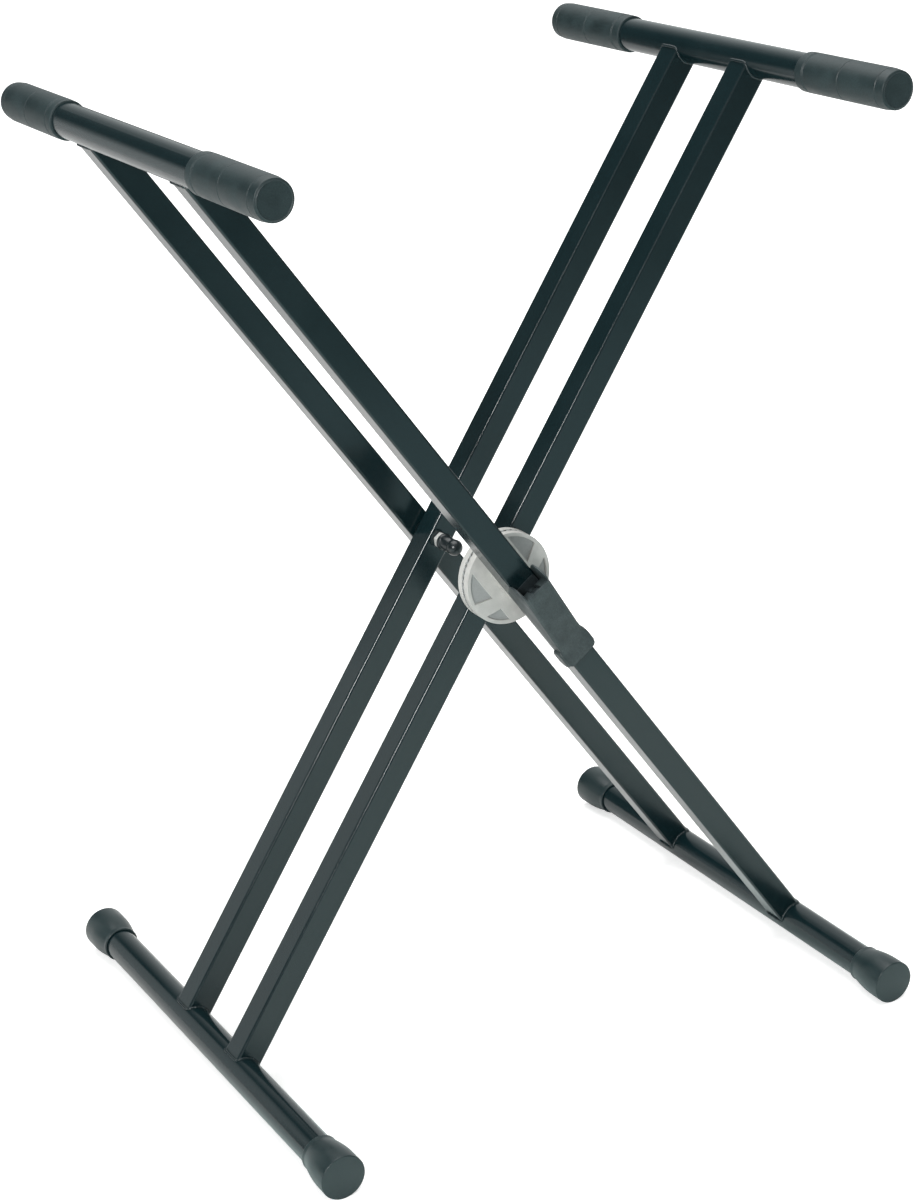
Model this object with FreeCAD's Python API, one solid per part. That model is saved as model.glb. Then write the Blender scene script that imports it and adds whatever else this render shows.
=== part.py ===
import FreeCAD, Part
import os
from math import acos, cos, pi, radians, sin, sqrt, tan

os.makedirs("parts", exist_ok=True)

Vec = FreeCAD.Vector

# A double-braced folding keyboard stand. Two steel frames cross at one horizontal axis.
# The outer frame leans to the left at its top and the inner frame to the right. Each frame is two
# square legs welded to a round support bar above and a round foot bar below.
# Every piece is first drawn with its frame upright: legs along Z, the fold axis along Y through
# the origin. Then the frame leans over and is lifted onto its feet.

# ---------------------------------------------------------------- driving dimensions, mm
# frames
LEG_LENGTH = 1000.0        # from support bar axis to foot bar axis
HALF_ANGLE = 34.7          # lean of each frame from the vertical, degrees, as it stands
INNER_LEG_SPREAD = 104.8   # between the inner frame's two leg axes
LEG_SIDE = 25.0            # square tube
LEG_WALL = 1.5
LEG_CORNER = 2.2           # outer corner radius of the square tube
BAR_DIAMETER = 30.0        # round tube of all four bars
BAR_WALL = 1.5

# rubber on the bar ends
SUPPORT_LENGTH = 503.5     # support bar over its two sleeves
SLEEVE_LENGTH = 117.4
SLEEVE_WALL = 2.05
SLEEVE_END = 3.0
SLEEVE_ROUND = 4.0
SLEEVE_ROUND_STEPS = 2
SLEEVE_GROOVE = 0.5        # depth and half width of the moulded ring
SLEEVE_RING = 58.0         # the ring's place, from the open end
FOOT_LENGTH = 511.6        # foot bar over its two boots
FOOT_CAP_LENGTH = 43.0
FOOT_CAP_WALL = 1.5        # at the open end
FOOT_CAP_FLARE = 3.7       # how much the radius grows from the open end to the closed one
FOOT_CAP_STEPS = 3         # cones that the curved flare is made of
FOOT_CAP_STRAIGHT = 14.0   # full-diameter stretch at the closed end
FOOT_CAP_LIP = 3.0
FOOT_CAP_END = 4.0
FOOT_CAP_BEVEL = 1.0
RUBBER_FIT = 0.1           # radial room between rubber and bar

# toothed clamping discs
DISC_DIAMETER = 84.0
DISC_PLATE = 6.55          # thickness without teeth
TOOTH_COUNT = 48
TOOTH_HEIGHT = 1.5
TOOTH_INNER = 29.0         # radius where the teeth begin
TOOTH_MARGIN = 0.4         # bare rim outside the teeth
TOOTH_ROOT_SHARE = 0.84    # of the pitch, at a tooth's root
TOOTH_TIP_SHARE = 0.14
TOOTH_SINK = 0.3           # a tooth's root lies this deep in its disc
TIP_GAP = 0.3              # between the two rows of tips
POCKET_DEPTH = 2.2
POCKET_BAND = 45.0         # bare band along the leg
POCKET_RIM = 3.6
POCKET_RIB = 13.0
POCKET_RIB_TURN = 26.5     # degrees
POCKET_RIB_DROP = 9.5
SADDLE_MARGIN = 1.0        # the saddle is this much narrower than the leg on each side
SADDLE_LENGTH = 46.0
SADDLE_HEIGHT = 12.0       # from the outer leg to the outer disc
DOWEL_DIAMETER = 6.0
DOWEL_LENGTH = 3.0
DOWEL_SPREAD = 30.0
DOWEL_ROOM = 0.1

# clamp bolt, spring and lever
BOLT_DIAMETER = 8.0
RUNNING_FIT = 0.05         # radial room of a bolt or pin that turns or slides
PAD_THICKNESS = 1.5
PAD_LENGTH = 24.0
PAD_MARGIN = 1.5           # the pad is this much narrower than the leg on each side
PAD_CORNER = 2.5
CAM_RADIUS = 9.7           # pin axis to pad when clamped
CAM_GAP = 0.3
CAM_RATE = 1.3             # mm that the cam drops per radian of lever swing
LEVER_OPEN = 70.0          # swing, degrees
EYE_RADIUS = 5.8
EYE_SHOULDER = 0.2         # the eye is this much wider than the shank on each side
PIN_DIAMETER = 5.5
NOTCH_ROOM = 0.4           # beside and round the eye
LEVER_WALL = 1.5
LEVER_ROOM = 0.3           # between lever and leg
LEVER_SKIN = 2.0           # front plate
LEVER_TOP = (-11.0, 22.5)  # along the leg below the pivot, height over the leg: top of front plate
LEVER_FLAT = (68.0, 3.2)   # where the front plate has come down to the clip
LEVER_CHEEK_START = -8.0   # where the cheeks' lower edge begins
LEVER_CHEEK_RUN = 8.0      # how far the cheeks run on under the clip
LEVER_NOSE = ((-18.5, 0.5), (-23.5, 8.0), (-23.0, 14.5), (-18.2, 20.3))
LEVER_END = 88.0
LEVER_STRADDLE = 11.5      # how far the cheeks reach down the leg's sides
LEVER_EDGE = 3.2           # rounding of the long front edges
CLIP_OVERHANG = 1.6        # beyond the cheeks on each side
CLIP_OVERLAP = 2.0         # how far the clip reaches back under the sloping plate
CLIP_CORNER = 4.5
CAM_SWEEP_SPARE = 2.0      # the cam runs on past the full swing, degrees
CAM_STEPS = 8
CAM_NOSE_DROP = 2.5        # lobe corner below the front plate's outer face
CAM_HEEL = 1.5             # lobe reaches this far past the cam radius down the leg
CAM_TOE = 4.0              # level stretch of the lobe beyond the clamped contact
CAM_TOE_RISE = 3.0
LUG_START = 76.0
LUG_FINISH = 82.5
LUG_DEPTH = 5.5
LUG_RADIUS = 7.5
LUG_PROUD = 2.8            # beyond the cheek
LUG_BEVEL = 1.2
SPRING_WIRE = 1.6
SPRING_DIAMETER = 14.0     # mean
SPRING_TURNS = 3
SPRING_SIDES = 6           # flats round the wire
SPRING_POCKET_OUTER = 12.0  # depth of the spring's seat below the outer disc's teeth
SPRING_POCKET_INNER = 3.0
SPRING_ROOM = 0.3

# standard M8 hardware
NUT_FLATS = 13.0
NUT_HEIGHT = 6.8
NUT_CHAMFER = 0.7
WASHER_DIAMETER = 16.0
WASHER_THICKNESS = 1.6
BOLT_HEAD_HEIGHT = 5.3
BOLT_TAIL = 2.0            # end of the clamp bolt past its nut
SPACER_DIAMETER = 22.0     # thin washer between the rear legs
SPACER_THICKNESS = 0.8
REAR_PLAY = 0.4            # left between the rear legs when the clamp is fully released
REAR_NUT_ROOM = 0.3
NUT_CAP_DIAMETER = 15.0
NUT_CAP_LENGTH = 26.5
NUT_CAP_WALL = 2.0
NUT_CAP_STEPS = 3          # cones that its domed end is made of
OVERLAP = 1.0              # how far joined shapes run into each other, and cuts past a face
NEAR = 0.01                # two places closer than this are the same, when edges are picked
STRAIGHT = 0.99            # cosine over which an edge counts as running along an axis

# ---------------------------------------------------------------- worked out from them
half_leg = LEG_LENGTH / 2
half_side = LEG_SIDE / 2
bar_radius = BAR_DIAMETER / 2
rubber_bore = bar_radius + RUBBER_FIT
foot_neck = rubber_bore + FOOT_CAP_WALL
foot_radius = foot_neck + FOOT_CAP_FLARE
sleeve_radius = rubber_bore + SLEEVE_WALL
disc_radius = DISC_DIAMETER / 2
bolt_radius = BOLT_DIAMETER / 2
bolt_hole = bolt_radius + RUNNING_FIT
pin_radius = PIN_DIAMETER / 2
pivot_height = foot_radius + half_leg * cos(radians(HALF_ANGLE))

# The outer legs stand off the inner ones by the discs in front and by a washer and the clamp's
# travel at the rear, so the two frames' middles lie apart along Y.
release_travel = CAM_RATE * radians(LEVER_OPEN)
front_gap = SADDLE_HEIGHT + 2 * (DISC_PLATE + TOOTH_HEIGHT) + TIP_GAP
rear_gap = SPACER_THICKNESS + release_travel + REAR_PLAY
inner_y = (front_gap - rear_gap) / 4
outer_y = -inner_y
inner_front = inner_y - INNER_LEG_SPREAD / 2    # leg axes
inner_rear = inner_y + INNER_LEG_SPREAD / 2
outer_front = inner_front - LEG_SIDE - front_gap
outer_rear = inner_rear + LEG_SIDE + rear_gap

leg_face = outer_front - half_side              # the face that the lever lies on
leg_back = outer_front + half_side
inner_disc_back = inner_front - half_side       # the inner disc seats here
inner_tips = inner_disc_back - DISC_PLATE - TOOTH_HEIGHT
outer_tips = inner_tips - TIP_GAP
outer_disc_face = outer_tips - TOOTH_HEIGHT - DISC_PLATE

pin_height = PAD_THICKNESS + CAM_GAP + CAM_RADIUS   # over the leg's face
pin_y = leg_face - pin_height
cheek_inner = half_side + LEVER_ROOM
cheek_outer = cheek_inner + LEVER_WALL
eye_width = BOLT_DIAMETER + 2 * EYE_SHOULDER
notch_half = eye_width / 2 + NOTCH_ROOM


# ---------------------------------------------------------------- helpers
def cylinder_y(radius, low, high, x=0.0, z=0.0):
    """Solid cylinder along Y from low to high."""
    return Part.makeCylinder(radius, high - low, Vec(x, low, z), Vec(0, 1, 0))


def box(a, b):
    """Solid box between two opposite corners, given in any order."""
    low = Vec(*[min(p, q) for p, q in zip(a, b)])
    high = Vec(*[max(p, q) for p, q in zip(a, b)])
    size = high - low
    return Part.makeBox(size.x, size.y, size.z, low)


def revolve_y(profile):
    """Solid of revolution round the Y axis. The profile is a closed list of edges in X, Y."""
    face = Part.Face(Part.Wire(profile))
    return face.revolve(Vec(0, 0, 0), Vec(0, 1, 0), 360)


def line(a, b):
    return Part.LineSegment(Vec(*a), Vec(*b)).toShape()


def arc(a, middle, b):
    return Part.Arc(Vec(*a), Vec(*middle), Vec(*b)).toShape()


def quarter_round(centre, radius, steps):
    """Points of a convex quarter round in the X, Y plane, from its +X side to its +Y side."""
    x, y = centre
    turns = [pi / 2 * i / steps for i in range(steps + 1)]
    return [(x + radius * cos(turn), y + radius * sin(turn), 0) for turn in turns]


def polygon(points):
    """Closed chain of straight edges."""
    return [line(a, b) for a, b in zip(points, points[1:] + points[:1])]


def lean_outer(shape):
    """Lay the upright outer frame over to the left and lift it onto its feet."""
    shape.rotate(Vec(0, 0, 0), Vec(0, 1, 0), -HALF_ANGLE)
    shape.translate(Vec(0, 0, pivot_height))
    return shape


def lean_inner(shape):
    shape.rotate(Vec(0, 0, 0), Vec(0, 1, 0), HALF_ANGLE)
    shape.translate(Vec(0, 0, pivot_height))
    return shape


def export(name, shape):
    if shape.ShapeType == "Compound" and len(shape.Solids) == 1:
        shape = shape.Solids[0]
    assert shape.isValid(), name
    shape.exportStep("parts/" + name + ".step")
    print(name, "solids", len(shape.Solids), "volume", round(shape.Volume, 1))


# ---------------------------------------------------------------- legs and bars
def square_section(side, corner, z):
    """Rounded square face of a tube at height z."""
    h = side / 2
    flat = h - corner
    c = corner * (1 - sqrt(0.5))
    edges = []
    for turn in range(4):
        def spin(x, y):
            for _ in range(turn):
                x, y = -y, x
            return (x, y, z)
        edges.append(line(spin(h, -flat), spin(h, flat)))
        edges.append(arc(spin(h, flat), spin(h - c, h - c), spin(flat, h)))
    return Part.Face(Part.Wire(edges))


def leg(y, holes):
    """Square tube, coped at both ends to sit round the bars, and drilled across the pivot.

    Its inner corners are drawn sharp."""
    reach = half_leg - sqrt(bar_radius ** 2 - half_side ** 2)
    length = 2 * reach
    tube = square_section(LEG_SIDE, LEG_CORNER, -reach).extrude(Vec(0, 0, length))
    inside = half_side - LEG_WALL
    tube = tube.cut(box((-inside, -inside, -reach), (inside, inside, reach)))
    for end in (-half_leg, half_leg):
        tube = tube.cut(cylinder_y(bar_radius, -LEG_SIDE, LEG_SIDE, z=end))
    tube.translate(Vec(0, y, 0))
    for low, high, radius, z in holes:
        tube = tube.cut(cylinder_y(radius, low, high, z=z))
    return tube


def bar(y, length, z):
    """Round tube along Y."""
    tube = cylinder_y(bar_radius, y - length / 2, y + length / 2, z=z)
    return tube.cut(cylinder_y(bar_radius - BAR_WALL, y - length / 2, y + length / 2, z=z))


def dowel_holes(low, high):
    """Two holes in a leg's wall for the dowels of a disc."""
    radius = DOWEL_DIAMETER / 2 + DOWEL_ROOM
    return [(low, high, radius, z) for z in (-DOWEL_SPREAD / 2, DOWEL_SPREAD / 2)]


def pivot_hole(y):
    return (y - LEG_SIDE, y + LEG_SIDE, bolt_hole, 0.0)


outer_front_leg = leg(outer_front, [pivot_hole(outer_front)]
                      + dowel_holes(leg_back - 2 * LEG_WALL, leg_back + LEG_WALL))
outer_rear_leg = leg(outer_rear, [pivot_hole(outer_rear)])
inner_front_leg = leg(inner_front, [pivot_hole(inner_front)]
                      + dowel_holes(inner_disc_back - LEG_WALL, inner_disc_back + 2 * LEG_WALL))
inner_rear_leg = leg(inner_rear, [pivot_hole(inner_rear)])

support_tube = SUPPORT_LENGTH - 2 * SLEEVE_END
foot_tube = FOOT_LENGTH - 2 * FOOT_CAP_END


# ---------------------------------------------------------------- rubber sleeves and boots
def sleeve_blank():
    """Support sleeve with its open end at Y 0 and its closed, rounded end towards +Y."""
    outer = sleeve_radius
    closed = SLEEVE_LENGTH
    groove = SLEEVE_GROOVE
    profile = [
        (rubber_bore, 0, 0),
        (outer, 0, 0),
        (outer, SLEEVE_RING - groove, 0),
        (outer - groove, SLEEVE_RING, 0),
        (outer, SLEEVE_RING + groove, 0),
    ]
    profile += quarter_round((outer - SLEEVE_ROUND, closed - SLEEVE_ROUND), SLEEVE_ROUND, SLEEVE_ROUND_STEPS)
    profile += [(0, closed, 0), (0, closed - SLEEVE_END, 0), (rubber_bore, closed - SLEEVE_END, 0)]
    return revolve_y(polygon(profile))


def boot_blank():
    """Foot boot with its open end at Y 0: lip, rounded flare, full-diameter ring and flat end."""
    closed = FOOT_CAP_LENGTH
    start = FOOT_CAP_LIP
    run = closed - FOOT_CAP_STRAIGHT - start
    profile = [(rubber_bore, 0, 0), (foot_neck, 0, 0)]
    for i in range(FOOT_CAP_STEPS + 1):
        share = i / FOOT_CAP_STEPS
        rise = sin(pi / 2 * share)
        profile.append((foot_neck + FOOT_CAP_FLARE * rise, start + run * share, 0))
    profile += [
        (foot_radius, closed - FOOT_CAP_BEVEL, 0),
        (foot_radius - FOOT_CAP_BEVEL, closed, 0),
        (0, closed, 0),
        (0, closed - FOOT_CAP_END, 0),
        (rubber_bore, closed - FOOT_CAP_END, 0),
    ]
    return revolve_y(polygon(profile))


def on_bar_end(blank, blank_length, y, overall, z, front):
    """Push a sleeve or boot onto the front (-Y) or rear (+Y) end of a bar."""
    piece = blank.copy()
    if front:
        piece.rotate(Vec(0, 0, 0), Vec(0, 0, 1), 180)
        piece.translate(Vec(0, y - overall / 2 + blank_length, z))
    else:
        piece.translate(Vec(0, y + overall / 2 - blank_length, z))
    return piece


# ---------------------------------------------------------------- toothed discs
def tooth():
    """One radial tooth on the plane Y 0, pointing to +Y, sunk a little into its disc."""
    pitch = 2 * pi / TOOTH_COUNT
    slope = (TOOTH_ROOT_SHARE - TOOTH_TIP_SHARE) / TOOTH_HEIGHT
    wires = []
    for radius in (TOOTH_INNER, disc_radius - TOOTH_MARGIN):
        corners = []
        for side, height in ((-1, -TOOTH_SINK), (1, -TOOTH_SINK), (1, TOOTH_HEIGHT), (-1, TOOTH_HEIGHT)):
            share = TOOTH_ROOT_SHARE - slope * height
            corners.append(Vec(side * radius * tan(share * pitch / 2), height, radius))
        wires.append(Part.makePolygon(corners + corners[:1]))
    return Part.makeLoft(wires, True, True)


def pockets(depth):
    """Recesses beside the band, two on each side, split by a slanting rib. Face at Y 0."""
    low, high = -OVERLAP, depth
    rim = disc_radius - POCKET_RIM
    field = cylinder_y(rim, low, high)
    half_band = POCKET_BAND / 2
    field = field.cut(box((-half_band, low, -disc_radius), (half_band, high, disc_radius)))
    for side in (-1, 1):
        rib = box((0, low, -POCKET_RIB / 2), (DISC_DIAMETER, high, POCKET_RIB / 2))
        rib.rotate(Vec(0, 0, 0), Vec(0, 1, 0), -POCKET_RIB_TURN)
        rib.translate(Vec(half_band, 0, -POCKET_RIB_DROP))
        if side < 0:
            rib = rib.mirror(Vec(0, 0, 0), Vec(1, 0, 0))
        inward = box((-DISC_DIAMETER, low, -DISC_DIAMETER), (0, high, DISC_DIAMETER))
        if side < 0:
            inward = inward.mirror(Vec(0, 0, 0), Vec(1, 0, 0))
        field = field.cut(rib.cut(inward))
    return field


def disc_blank():
    """Toothed disc: plain face at Y 0, teeth towards +Y."""
    disc = cylinder_y(disc_radius, 0, DISC_PLATE)
    disc = disc.cut(pockets(POCKET_DEPTH))
    one = tooth()
    one.translate(Vec(0, DISC_PLATE, 0))
    ring = []
    for i in range(TOOTH_COUNT):
        copy = one.copy()
        copy.rotate(Vec(0, 0, 0), Vec(0, 1, 0), (i + 0.5) * 360.0 / TOOTH_COUNT)
        ring.append(copy)
    disc = disc.multiFuse(ring)
    return disc


def dowels(low, high):
    radius = DOWEL_DIAMETER / 2
    return [cylinder_y(radius, low, high, z=z) for z in (-DOWEL_SPREAD / 2, DOWEL_SPREAD / 2)]


def spring_seat(low, high):
    return cylinder_y((SPRING_DIAMETER + SPRING_WIRE) / 2 + SPRING_ROOM, low, high)


def outer_disc():
    """Fixed to the front outer leg. Its saddle stands on the leg and dowels stop it turning."""
    disc = disc_blank()
    disc.translate(Vec(0, outer_disc_face, 0))
    half = half_side - SADDLE_MARGIN
    flat = SADDLE_LENGTH / 2 - half
    top = outer_disc_face + OVERLAP
    saddle = box((-half, leg_back, -flat), (half, top, flat))
    for z in (-flat, flat):
        saddle = saddle.fuse(cylinder_y(half, leg_back, top, z=z))
    disc = disc.fuse([saddle] + dowels(leg_back - DOWEL_LENGTH, leg_back + OVERLAP))
    disc = disc.cut(spring_seat(outer_tips - SPRING_POCKET_OUTER, outer_tips + OVERLAP))
    disc = disc.cut(cylinder_y(bolt_hole, leg_back - LEG_SIDE, outer_tips + LEG_SIDE))
    return disc.removeSplitter()


def inner_disc():
    """Fixed to the front inner leg, teeth towards the outer disc."""
    disc = disc_blank()
    disc.rotate(Vec(0, 0, 0), Vec(0, 0, 1), 180)
    disc.translate(Vec(0, inner_disc_back, 0))
    disc = disc.fuse(dowels(inner_disc_back - OVERLAP, inner_disc_back + DOWEL_LENGTH))
    disc = disc.cut(spring_seat(inner_tips - OVERLAP, inner_tips + SPRING_POCKET_INNER))
    disc = disc.cut(cylinder_y(bolt_hole, inner_tips - LEG_SIDE, inner_disc_back + LEG_SIDE))
    return disc.removeSplitter()


# ---------------------------------------------------------------- release spring
def biarc(a, ta, b, tb):
    """Two tangent arcs from a to b with the given unit tangents."""
    v = b - a
    t = ta + tb
    spare = 2 * (1 - ta.dot(tb))
    d = (-v.dot(t) + sqrt(v.dot(t) ** 2 + spare * v.dot(v))) / spare
    joint = (a + b + (ta - tb) * d) * 0.5
    out = []
    for start, tangent, end in ((a, ta, joint), (b, tb * -1, joint)):
        chord = end - start
        along = Vec(chord).normalize()
        side = tangent - along * tangent.dot(along)
        theta = acos(max(-1.0, min(1.0, tangent.dot(along))))
        middle = start + chord * 0.5
        middle += side.normalize() * (chord.Length / 2 * tan(theta / 2))
        out.append(Part.Arc(start, middle, end).toShape())
    return out


def release_spring():
    """Compression spring round the bolt, drawn at its clamped length."""
    low = outer_tips - SPRING_POCKET_OUTER + SPRING_ROOM + SPRING_WIRE / 2
    high = inner_tips + SPRING_POCKET_INNER - SPRING_ROOM - SPRING_WIRE / 2
    radius = SPRING_DIAMETER / 2
    rise = (high - low) / (2 * pi * SPRING_TURNS)

    def at(angle):
        return Vec(radius * cos(angle), low + rise * angle, radius * sin(angle))

    def heading(angle):
        return Vec(-radius * sin(angle), rise, radius * cos(angle)).normalize()

    edges = []
    step = pi
    for i in range(2 * SPRING_TURNS):
        a, b = i * step, (i + 1) * step
        edges += biarc(at(a), heading(a), at(b), heading(b))
    path = Part.Wire(Part.__sortEdges__(edges))
    outward = Vec(1, 0, 0)
    across = heading(0.0).cross(outward)
    section = []
    for i in range(SPRING_SIDES):
        turn = 2 * pi * i / SPRING_SIDES
        section.append(at(0.0) + (outward * cos(turn) + across * sin(turn)) * (SPRING_WIRE / 2))
    coil = path.makePipeShell([Part.makePolygon(section + section[:1])], True, False)
    gap = 2 * pi * rise * radius / sqrt(radius ** 2 + rise ** 2) - SPRING_WIRE
    print("release spring: least gap between turns", round(gap, 2), "mm")
    return coil


# ---------------------------------------------------------------- bolts, nuts, washers
def hexagon(low, high, x=0.0, z=0.0):
    """Hexagon prism along Y with chamfered corners on both faces."""
    corner = NUT_FLATS / sqrt(3)
    points = [Vec(corner * cos(i * pi / 3), low, corner * sin(i * pi / 3)) for i in range(6)]
    prism = Part.Face(Part.makePolygon(points + points[:1])).extrude(Vec(0, high - low, 0))
    inset = corner - NUT_CHAMFER
    barrel = revolve_y(polygon([
        (0, low, 0), (inset, low, 0), (corner, low + NUT_CHAMFER / 2, 0),
        (corner, high - NUT_CHAMFER / 2, 0), (inset, high, 0), (0, high, 0)]))
    return prism.common(barrel)


def washer(low, diameter, thickness):
    high = low + thickness
    return cylinder_y(diameter / 2, low, high).cut(cylinder_y(bolt_hole, low, high))


clamp_washer_low = inner_front + half_side
clamp_nut_low = clamp_washer_low + WASHER_THICKNESS
clamp_bolt_end = clamp_nut_low + NUT_HEIGHT + BOLT_TAIL


def eye_bolt():
    """Draw bolt through both front legs and both discs, with a flat-sided eye at its front."""
    shank = cylinder_y(bolt_radius, pin_y, clamp_bolt_end)
    start = Vec(-eye_width / 2, pin_y, 0)
    eye = Part.makeCylinder(EYE_RADIUS, eye_width, start, Vec(1, 0, 0))
    hole = Part.makeCylinder(pin_radius + RUNNING_FIT, eye_width, start, Vec(1, 0, 0))
    return shank.fuse(eye).cut(hole).removeSplitter()


def nut(low):
    return hexagon(low, low + NUT_HEIGHT).cut(cylinder_y(bolt_radius, low, low + NUT_HEIGHT))


rear_head_low = outer_rear + half_side + WASHER_THICKNESS
rear_nut_high = inner_rear - half_side - REAR_NUT_ROOM
rear_nut_low = rear_nut_high - NUT_HEIGHT
rear_cap_low = rear_nut_low - NUT_CAP_LENGTH
rear_bolt_end = rear_cap_low + NUT_CAP_WALL + NUT_CAP_DIAMETER / 2


def rear_bolt():
    shank = cylinder_y(bolt_radius, rear_bolt_end, rear_head_low)
    return shank.fuse(hexagon(rear_head_low, rear_head_low + BOLT_HEAD_HEIGHT)).removeSplitter()


def rear_cap():
    """Soft cap with a domed end over the bolt's free end."""
    radius = NUT_CAP_DIAMETER / 2
    dome = quarter_round((0, 0), radius, NUT_CAP_STEPS)
    profile = [(x, rear_cap_low + radius - y, 0) for x, y, _ in dome]
    profile += [(0, rear_nut_low, 0), (radius, rear_nut_low, 0)]
    return revolve_y(polygon(profile)).cut(cylinder_y(bolt_radius, rear_bolt_end, rear_nut_low))


def cam_pad():
    """Steel plate that spreads the cam's load on the leg's thin wall."""
    half = half_side - PAD_MARGIN
    plate = box((-half, leg_face - PAD_THICKNESS, -PAD_LENGTH / 2), (half, leg_face, PAD_LENGTH / 2))
    upright = [e for e in plate.Edges if abs(e.tangentAt(e.FirstParameter).y) > STRAIGHT]
    plate = plate.makeFillet(PAD_CORNER, upright)
    return plate.cut(cylinder_y(bolt_hole, leg_face - 2 * PAD_THICKNESS, leg_face))


# ---------------------------------------------------------------- clamp lever
def lever_point(s, h, n=0.0):
    """s runs down the leg from the pivot, h is the height over the leg's face, n across."""
    return (n, leg_face - h, -s)


def lever_prism(edges, low, high):
    """Extrude a closed chain of edges, drawn in the plane n 0, from n low to n high."""
    face = Part.Face(Part.Wire(Part.__sortEdges__(edges)))
    face.translate(Vec(low, 0, 0))
    return face.extrude(Vec(high - low, 0, 0))


def cam_point(angle):
    """Point of the cam that bears on the pad when the lever has swung by this angle.

    The cam's support function falls at a steady rate, so the bolt moves in proportion."""
    reach = CAM_RADIUS - CAM_RATE * angle
    s = -reach * sin(angle) + CAM_RATE * cos(angle)
    h = pin_height - reach * cos(angle) - CAM_RATE * sin(angle)
    return s, h


def top_height(s):
    """Height of the sloping front plate's outer face."""
    slope = (LEVER_FLAT[1] - LEVER_TOP[1]) / (LEVER_FLAT[0] - LEVER_TOP[0])
    return LEVER_TOP[1] + slope * (s - LEVER_TOP[0])


def cam_lobe(low, high):
    """One cam lobe between the notch and a cheek."""
    last = radians(LEVER_OPEN + CAM_SWEEP_SPARE)
    angles = [last * i / CAM_STEPS for i in range(CAM_STEPS + 1)]
    curve = [Vec(*lever_point(*cam_point(angle))) for angle in angles]
    spline = Part.BSplineCurve()
    spline.interpolate(curve)
    end_s, end_h = cam_point(last)
    # from the cam's last point the end face runs on along its tangent to the nose
    nose_h = LEVER_TOP[1] - CAM_NOSE_DROP
    nose_s = end_s - (nose_h - end_h) / tan(last)
    start_s, start_h = cam_point(0.0)
    heel_s = CAM_RADIUS + CAM_HEEL
    outline = [spline.toShape()]
    points = [
        lever_point(end_s, end_h),
        lever_point(nose_s, nose_h),
        lever_point(LEVER_TOP[0], top_height(LEVER_TOP[0]) - LEVER_SKIN / 2),
        lever_point(heel_s, top_height(heel_s) - LEVER_SKIN / 2),
        lever_point(heel_s, start_h + CAM_TOE_RISE),
        lever_point(start_s + CAM_TOE, start_h),
        lever_point(start_s, start_h),
    ]
    outline += [line(a, b) for a, b in zip(points, points[1:])]
    return lever_prism(outline, low, high)


def lever_shell():
    """Channel with a sloping front plate and two cheeks that straddle the leg."""
    top_s, top_h = LEVER_TOP
    flat_s, flat_h = LEVER_FLAT
    cheek_s = flat_s + LEVER_CHEEK_RUN
    foot_h = -LEVER_STRADDLE
    nose = [lever_point(*place) for place in LEVER_NOSE]
    corners = [lever_point(*place) for place in (
        (top_s, top_h), (flat_s, flat_h), (cheek_s, flat_h), (cheek_s, foot_h),
        (LEVER_CHEEK_START, foot_h), LEVER_NOSE[0])]
    outline = [line(a, b) for a, b in zip(corners, corners[1:])]
    outline += [arc(nose[0], nose[1], nose[2]), arc(nose[2], nose[3], corners[0])]
    outer = lever_prism(outline, -cheek_outer, cheek_outer)
    outer = outer.makeFillet(LEVER_EDGE, slope_edges(outer))
    past = OVERLAP - LEVER_NOSE[1][0]
    inside = lever_prism(polygon([
        lever_point(-past, foot_h - OVERLAP),
        lever_point(-past, top_h + OVERLAP),
        lever_point(top_s, top_h + OVERLAP),
        lever_point(top_s, top_h - LEVER_SKIN),
        lever_point(flat_s, flat_h - LEVER_SKIN),
        lever_point(cheek_s + OVERLAP, flat_h - LEVER_SKIN),
        lever_point(cheek_s + OVERLAP, foot_h - OVERLAP)]), -cheek_inner, cheek_inner)
    return outer.cut(inside)


def slope_edges(shape):
    """The two long edges of the sloping front plate."""
    found = []
    for edge in shape.Edges:
        ends = [vertex.Point for vertex in edge.Vertexes]
        heights = sorted(leg_face - point.y for point in ends)
        places = sorted(-point.z for point in ends)
        expected = (LEVER_FLAT[1], LEVER_TOP[1], LEVER_TOP[0], LEVER_FLAT[0])
        if all(abs(a - b) < NEAR for a, b in zip(heights + places, expected)):
            found.append(edge)
    return found


def clip_plate():
    """Flat end of the lever, wider than the rest, with rounded corners."""
    half = cheek_outer + CLIP_OVERHANG
    low, high = LEVER_FLAT[1] - LEVER_SKIN, LEVER_FLAT[1]
    start = LEVER_FLAT[0] - CLIP_OVERLAP
    plate = box(lever_point(LEVER_END, high, -half), lever_point(start, low, half))
    corners = [e for e in plate.Edges if abs(e.tangentAt(e.FirstParameter).y) > STRAIGHT]
    return plate.makeFillet(CLIP_CORNER, corners)


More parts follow.
